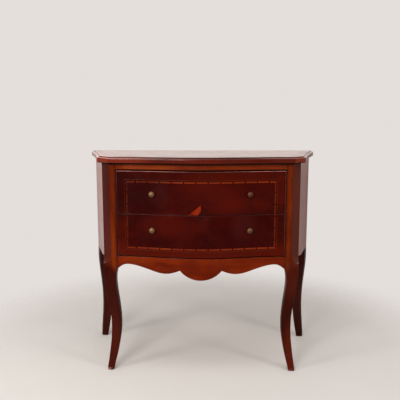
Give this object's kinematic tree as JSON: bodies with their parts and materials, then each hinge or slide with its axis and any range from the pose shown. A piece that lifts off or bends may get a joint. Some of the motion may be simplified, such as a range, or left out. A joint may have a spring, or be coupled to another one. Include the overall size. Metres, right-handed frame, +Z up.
{
  "type": "chest of drawers",
  "caption": "Bow-fronted commode chest on cabriole legs, with bowed drawers, canted corners, a scalloped apron and inlaid drawer fronts.",
  "frame": {"origin": "on the floor under the middle of the chest's overall width and depth", "axes": "+X to the viewer's right, -Y out of the front, +Y to the wall, +Z up"},
  "size_m": [0.926, 0.42, 0.8],
  "materials": {
    "frame_wood": "satin lacquer over dark red-brown stained hardwood",
    "top_veneer": "glossy lacquer over mahogany-coloured veneer",
    "rail_veneer": "satin lacquer over orange-brown veneer",
    "side_veneer": "glossy lacquer over red-brown veneer",
    "drawer_front_wood": "stained hardwood edge, satin",
    "drawer_wood": "bare pale hardwood, matt",
    "inner_wood": "bare softwood, matt",
    "plywood": "bare plywood, matt",
    "dark_field_veneer": "glossy lacquer over very dark red figured veneer",
    "dark_crossbanding": "glossy lacquer over dark cross-grained veneer",
    "light_stringing": "glossy lacquer over light wood stringing",
    "dark_line": "glossy lacquer over thin veneer line",
    "lozenge_veneer": "glossy lacquer over shaded inlay pieces",
    "antique_brass": "aged satin brass",
    "steel": "plain steel"
  },
  "bodies": {
    "carcass": {"top_panel": "top_veneer", "top_edge_moulding": "frame_wood", "frieze_rail": "rail_veneer", "front_apron": "rail_veneer", "back_panel": "plywood", "bottom_board": "plywood", "drawer_stops": "inner_wood", "glue_blocks": "inner_wood", "top_screws": "steel", "back_pins": "steel", "rear_top_rail": "inner_wood", "rear_middle_rail": "inner_wood", "rear_bottom_rail": "inner_wood", "front_leg_left": "frame_wood", "front_leg_right": "frame_wood", "rear_leg_left": "frame_wood", "rear_leg_right": "frame_wood", "side_panel_left": "side_veneer", "side_panel_right": "side_veneer", "top_cleat_left": "inner_wood", "top_cleat_right": "inner_wood", "upper_runner_left": "inner_wood", "upper_runner_right": "inner_wood", "lower_runner_left": "inner_wood", "lower_runner_right": "inner_wood", "upper_guide_left": "inner_wood", "upper_guide_right": "inner_wood", "lower_guide_left": "inner_wood", "lower_guide_right": "inner_wood", "kicker_left": "inner_wood", "kicker_right": "inner_wood"},
    "upper_drawer": {"upper_drawer_front": "drawer_front_wood", "upper_drawer_side_left": "drawer_wood", "upper_drawer_side_right": "drawer_wood", "upper_drawer_back": "drawer_wood", "upper_drawer_bottom": "plywood", "upper_drawer_knob_left": "antique_brass", "upper_drawer_knob_right": "antique_brass", "upper_drawer_knob_screws": "steel", "upper_drawer_field_veneer": "dark_field_veneer", "upper_drawer_crossbanding": "dark_crossbanding", "upper_drawer_stringing": "light_stringing", "upper_drawer_line_inlay": "dark_line", "upper_drawer_centre_inlay": "lozenge_veneer"},
    "lower_drawer": {"lower_drawer_front": "drawer_front_wood", "lower_drawer_side_left": "drawer_wood", "lower_drawer_side_right": "drawer_wood", "lower_drawer_back": "drawer_wood", "lower_drawer_bottom": "plywood", "lower_drawer_knob_left": "antique_brass", "lower_drawer_knob_right": "antique_brass", "lower_drawer_knob_screws": "steel", "lower_drawer_field_veneer": "dark_field_veneer", "lower_drawer_crossbanding": "dark_crossbanding", "lower_drawer_stringing": "light_stringing", "lower_drawer_line_inlay": "dark_line", "lower_drawer_centre_inlay": "lozenge_veneer"}
  },
  "joints": [
    {"name": "upper_drawer_slide", "type": "slide", "parent": "carcass", "child": "upper_drawer", "axis": [0, -1, 0], "range_m": [0, 0.2]},
    {"name": "lower_drawer_slide", "type": "slide", "parent": "carcass", "child": "lower_drawer", "axis": [0, -1, 0], "range_m": [0, 0.2]}
  ]
}
